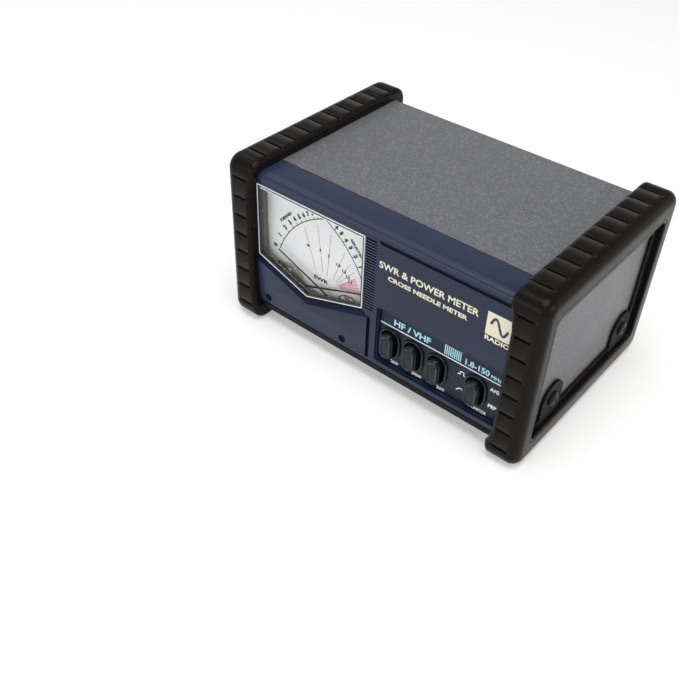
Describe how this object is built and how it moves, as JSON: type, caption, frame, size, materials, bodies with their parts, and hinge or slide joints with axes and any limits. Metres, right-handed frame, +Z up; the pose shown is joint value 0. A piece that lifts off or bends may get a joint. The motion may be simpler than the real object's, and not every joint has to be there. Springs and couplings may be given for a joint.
{
  "type": "swr meter",
  "caption": "Cross-needle SWR and power meter for amateur radio: grey sheet-metal case between black moulded end frames, navy front with a five-sided meter window and oval push buttons.",
  "frame": {"origin": "on the table, under the middle of the bounding box", "axes": "+X to the right as seen from the front, +Y from the front towards the sockets at the back, +Z up"},
  "size_m": [0.165, 0.1216, 0.0874],
  "materials": {
    "bumper": "fine matte moulded black",
    "screw_steel": "dark plated",
    "cover_paint": "grey textured paint, semi-gloss",
    "chassis_paint": "dark grey paint",
    "bezel_plastic": "satin navy",
    "control_plate_plastic": "satin dark navy",
    "button_plastic": "semi-gloss navy",
    "clear_plastic": "clear, polished edges",
    "case_plastic": "black",
    "screw_plastic": "black",
    "dial_card": "printed cream card",
    "needle_black": "painted black",
    "winding": "enamelled copper wire",
    "yoke_steel": "passivated",
    "magnet_alloy": "ground",
    "spring_brass": "polished",
    "spring_steel": "bright",
    "plunger_plastic": "white",
    "switch_steel": "bright plated",
    "board": "green board",
    "trimmer_plastic": "white",
    "coupler_steel": "tinned plate",
    "ferrite": "dull",
    "contact_brass": "polished",
    "socket_nickel": "nickel plate",
    "insulator": "white"
  },
  "bodies": {
    "housing": {"bottom_chassis": "chassis_paint", "calibration_trimmer_forward": "trimmer_plastic", "calibration_trimmer_reflected": "trimmer_plastic", "control_plate": "control_plate_plastic", "coupler_case": "coupler_steel", "dc_jack": "case_plastic", "dc_jack_nut": "socket_nickel", "dial_plate": "dial_card", "end_frame_screw_left_front": "screw_steel", "end_frame_screw_left_rear": "screw_steel", "end_frame_screw_right_front": "screw_steel", "end_frame_screw_right_rear": "screw_steel", "forward_hairspring": "spring_brass", "forward_magnet": "magnet_alloy", "forward_yoke": "yoke_steel", "front_bezel": "bezel_plastic", "input_socket_body": "socket_nickel", "input_socket_contact": "contact_brass", "input_socket_insulator": "insulator", "input_socket_nut": "socket_nickel", "lamp_board": "board", "left_end_frame": "bumper", "line_rod": "contact_brass", "meter_case": "case_plastic", "meter_lamp": "clear_plastic", "meter_window": "clear_plastic", "monitor_spring": "spring_steel", "monitor_switch_frame": "switch_steel", "output_socket_body": "socket_nickel", "output_socket_contact": "contact_brass", "output_socket_insulator": "insulator", "output_socket_nut": "socket_nickel", "range_high_spring": "spring_steel", "range_low_spring": "spring_steel", "range_mid_spring": "spring_steel", "range_switch_frame": "switch_steel", "rear_panel": "chassis_paint", "reflected_hairspring": "spring_brass", "reflected_magnet": "magnet_alloy", "reflected_yoke": "yoke_steel", "right_end_frame": "bumper", "switch_board": "board", "top_cover": "cover_paint", "toroid_core": "ferrite"},
    "forward_pointer": {"forward_needle": "needle_black", "forward_coil": "winding"},
    "reflected_pointer": {"reflected_needle": "needle_black", "reflected_coil": "winding"},
    "range_low_press": {"range_button_low": "button_plastic", "range_low_plunger": "plunger_plastic"},
    "range_mid_press": {"range_button_mid": "button_plastic", "range_mid_plunger": "plunger_plastic"},
    "range_high_press": {"range_button_high": "button_plastic", "range_high_plunger": "plunger_plastic"},
    "monitor_press": {"monitor_button": "button_plastic", "monitor_plunger": "plunger_plastic"},
    "latch": {"latch_bar": "switch_steel"},
    "forward_zero": {"forward_zero_screw": "screw_plastic"},
    "reflected_zero": {"reflected_zero_screw": "screw_plastic"}
  },
  "joints": [
    {"name": "forward_pointer_swing", "type": "hinge", "parent": "housing", "child": "forward_pointer", "pos_m": [-0.017, -0.049, 0.0269], "axis": [0, 1, 0], "range_deg": [0, 80], "stiffness_Nm_per_rad": 0.00004, "springref_deg": -20.05},
    {"name": "reflected_pointer_swing", "type": "hinge", "parent": "housing", "child": "reflected_pointer", "pos_m": [-0.0572, -0.049, 0.024], "axis": [0, -1, 0], "range_deg": [0, 80], "stiffness_Nm_per_rad": 0.00004, "springref_deg": -20.05},
    {"name": "range_low_push", "type": "slide", "parent": "housing", "child": "range_low_press", "axis": [0, 1, 0], "range_m": [0, 0.003], "stiffness_N_per_m": 400, "springref_m": -0.003, "deforming": ["range_low_spring"]},
    {"name": "range_mid_push", "type": "slide", "parent": "housing", "child": "range_mid_press", "axis": [0, 1, 0], "range_m": [0, 0.003], "stiffness_N_per_m": 400, "springref_m": -0.003, "deforming": ["range_mid_spring"]},
    {"name": "range_high_push", "type": "slide", "parent": "housing", "child": "range_high_press", "axis": [0, 1, 0], "range_m": [0, 0.003], "stiffness_N_per_m": 400, "springref_m": -0.003, "deforming": ["range_high_spring"]},
    {"name": "monitor_push", "type": "slide", "parent": "housing", "child": "monitor_press", "axis": [0, 1, 0], "range_m": [0, 0.003], "stiffness_N_per_m": 400, "springref_m": -0.003, "deforming": ["monitor_spring"]},
    {"name": "latch_slide", "type": "slide", "parent": "housing", "child": "latch", "axis": [1, 0, 0], "range_m": [0, 0.0015], "stiffness_N_per_m": 250, "springref_m": -0.003},
    {"name": "forward_zero_turn", "type": "hinge", "parent": "housing", "child": "forward_zero", "pos_m": [-0.0156, -0.055, 0.0152], "axis": [0, 1, 0], "range_deg": [-30, 30]},
    {"name": "reflected_zero_turn", "type": "hinge", "parent": "housing", "child": "reflected_zero", "pos_m": [-0.0623, -0.055, 0.015], "axis": [0, 1, 0], "range_deg": [-30, 30]}
  ]
}
